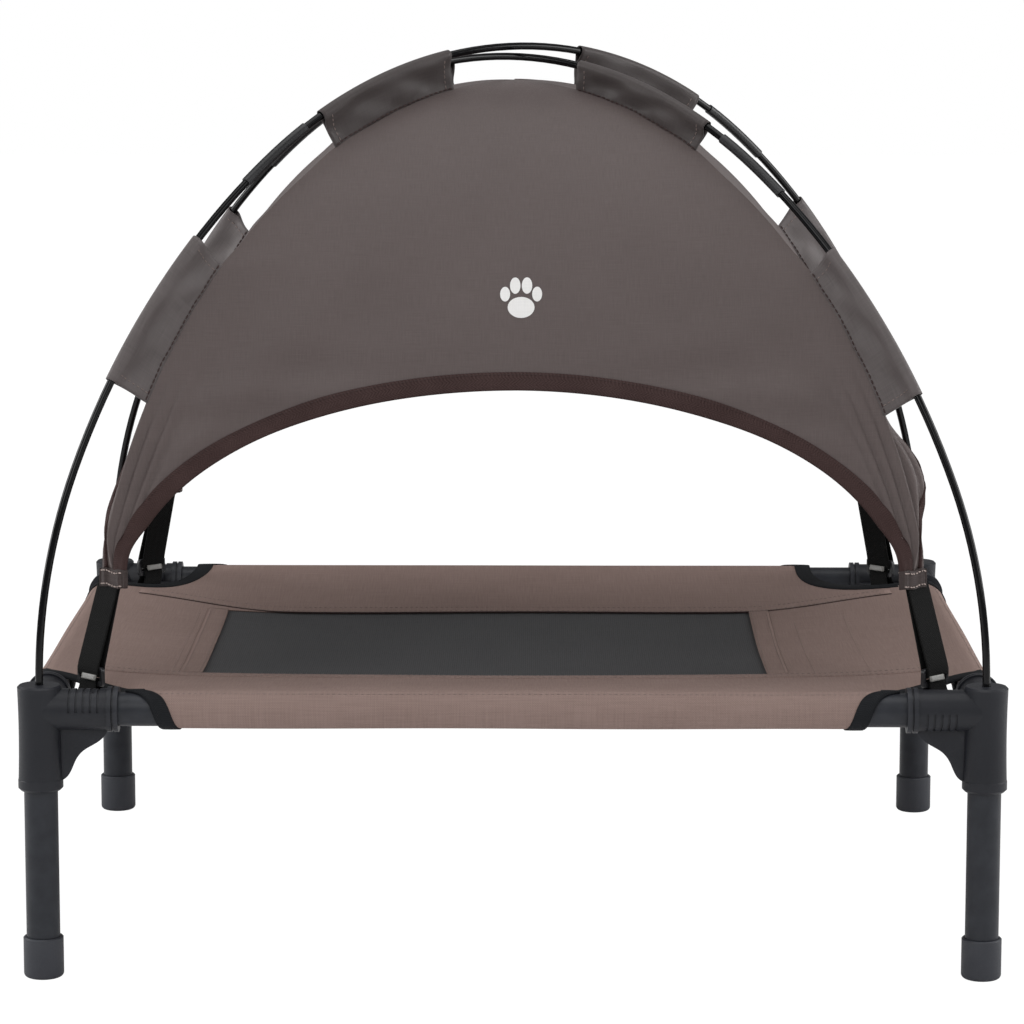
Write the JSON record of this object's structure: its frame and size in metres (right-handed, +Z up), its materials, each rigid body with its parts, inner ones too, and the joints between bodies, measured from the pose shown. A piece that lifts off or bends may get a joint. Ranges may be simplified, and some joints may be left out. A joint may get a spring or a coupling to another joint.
{
  "type": "raised dog bed with canopy",
  "caption": "Raised cot dog bed: a tube frame with a sling and mesh panel, under a domed cloth canopy on two crossed poles, strapped down at the corners.",
  "frame": {"origin": "on the floor, under the middle of the bed", "axes": "+X along the long side, to the right seen from the front; +Y from the front to the back; +Z up"},
  "size_m": [0.761, 0.611, 0.7082],
  "materials": {
    "steel": "smooth powder coat, satin",
    "plastic": "moulded, satin",
    "bed_cloth": "coarse woven polyester",
    "mesh": "open knitted mesh",
    "canopy_cloth": "fine plain weave, slight sheen",
    "arch_binding": "woven tape",
    "webbing": "woven webbing",
    "buckle": "moulded, satin",
    "pole": "glass-fibre rod, smooth",
    "ferrule": "dark coated sleeve"
  },
  "bodies": {
    "frame": {"leg_front_left": "steel", "foot_cap_front_left": "plastic", "corner_connector_front_left": "plastic", "buckle_front_left": "buckle", "strap_front_left": "webbing", "leg_front_right": "steel", "foot_cap_front_right": "plastic", "corner_connector_front_right": "plastic", "buckle_front_right": "buckle", "strap_front_right": "webbing", "leg_back_left": "steel", "foot_cap_back_left": "plastic", "corner_connector_back_left": "plastic", "buckle_back_left": "buckle", "strap_back_left": "webbing", "leg_back_right": "steel", "foot_cap_back_right": "plastic", "corner_connector_back_right": "plastic", "buckle_back_right": "buckle", "strap_back_right": "webbing", "rail_front": "steel", "rail_back": "steel", "rail_left": "steel", "rail_right": "steel", "bed_cover": "bed_cloth", "bed_pocket_front": "bed_cloth", "bed_pocket_back": "bed_cloth", "bed_pocket_left": "bed_cloth", "bed_pocket_right": "bed_cloth", "bed_corner_bindings": "webbing", "mesh_panel": "mesh", "strap_loops": "webbing"},
    "canopy": {"hem_band_front_left": "canopy_cloth", "sleeve_upper_front_left": "canopy_cloth", "sleeve_lower_front_left": "canopy_cloth", "hem_band_front_right": "canopy_cloth", "sleeve_upper_front_right": "canopy_cloth", "sleeve_lower_front_right": "canopy_cloth", "hem_band_back_left": "canopy_cloth", "sleeve_upper_back_left": "canopy_cloth", "sleeve_lower_back_left": "canopy_cloth", "hem_band_back_right": "canopy_cloth", "sleeve_upper_back_right": "canopy_cloth", "sleeve_lower_back_right": "canopy_cloth", "canopy_panel_front": "canopy_cloth", "arch_binding_front": "arch_binding", "canopy_panel_back": "canopy_cloth", "arch_binding_back": "arch_binding", "canopy_panel_left": "canopy_cloth", "arch_binding_left": "arch_binding", "canopy_panel_right": "canopy_cloth", "arch_binding_right": "arch_binding", "pole_over_middle": "pole", "pole_over_front_left": "pole", "pole_over_back_right": "pole", "pole_under_middle": "pole", "pole_under_front_right": "pole", "pole_under_back_left": "pole", "pole_ferrules": "ferrule"}
  },
  "joints": [
    {"name": "canopy_lift", "type": "slide", "parent": "frame", "child": "canopy", "axis": [0, 0, 1], "range_m": [0, 0.036], "deforming": ["strap_front_left", "strap_front_right", "strap_back_left", "strap_back_right"]}
  ]
}
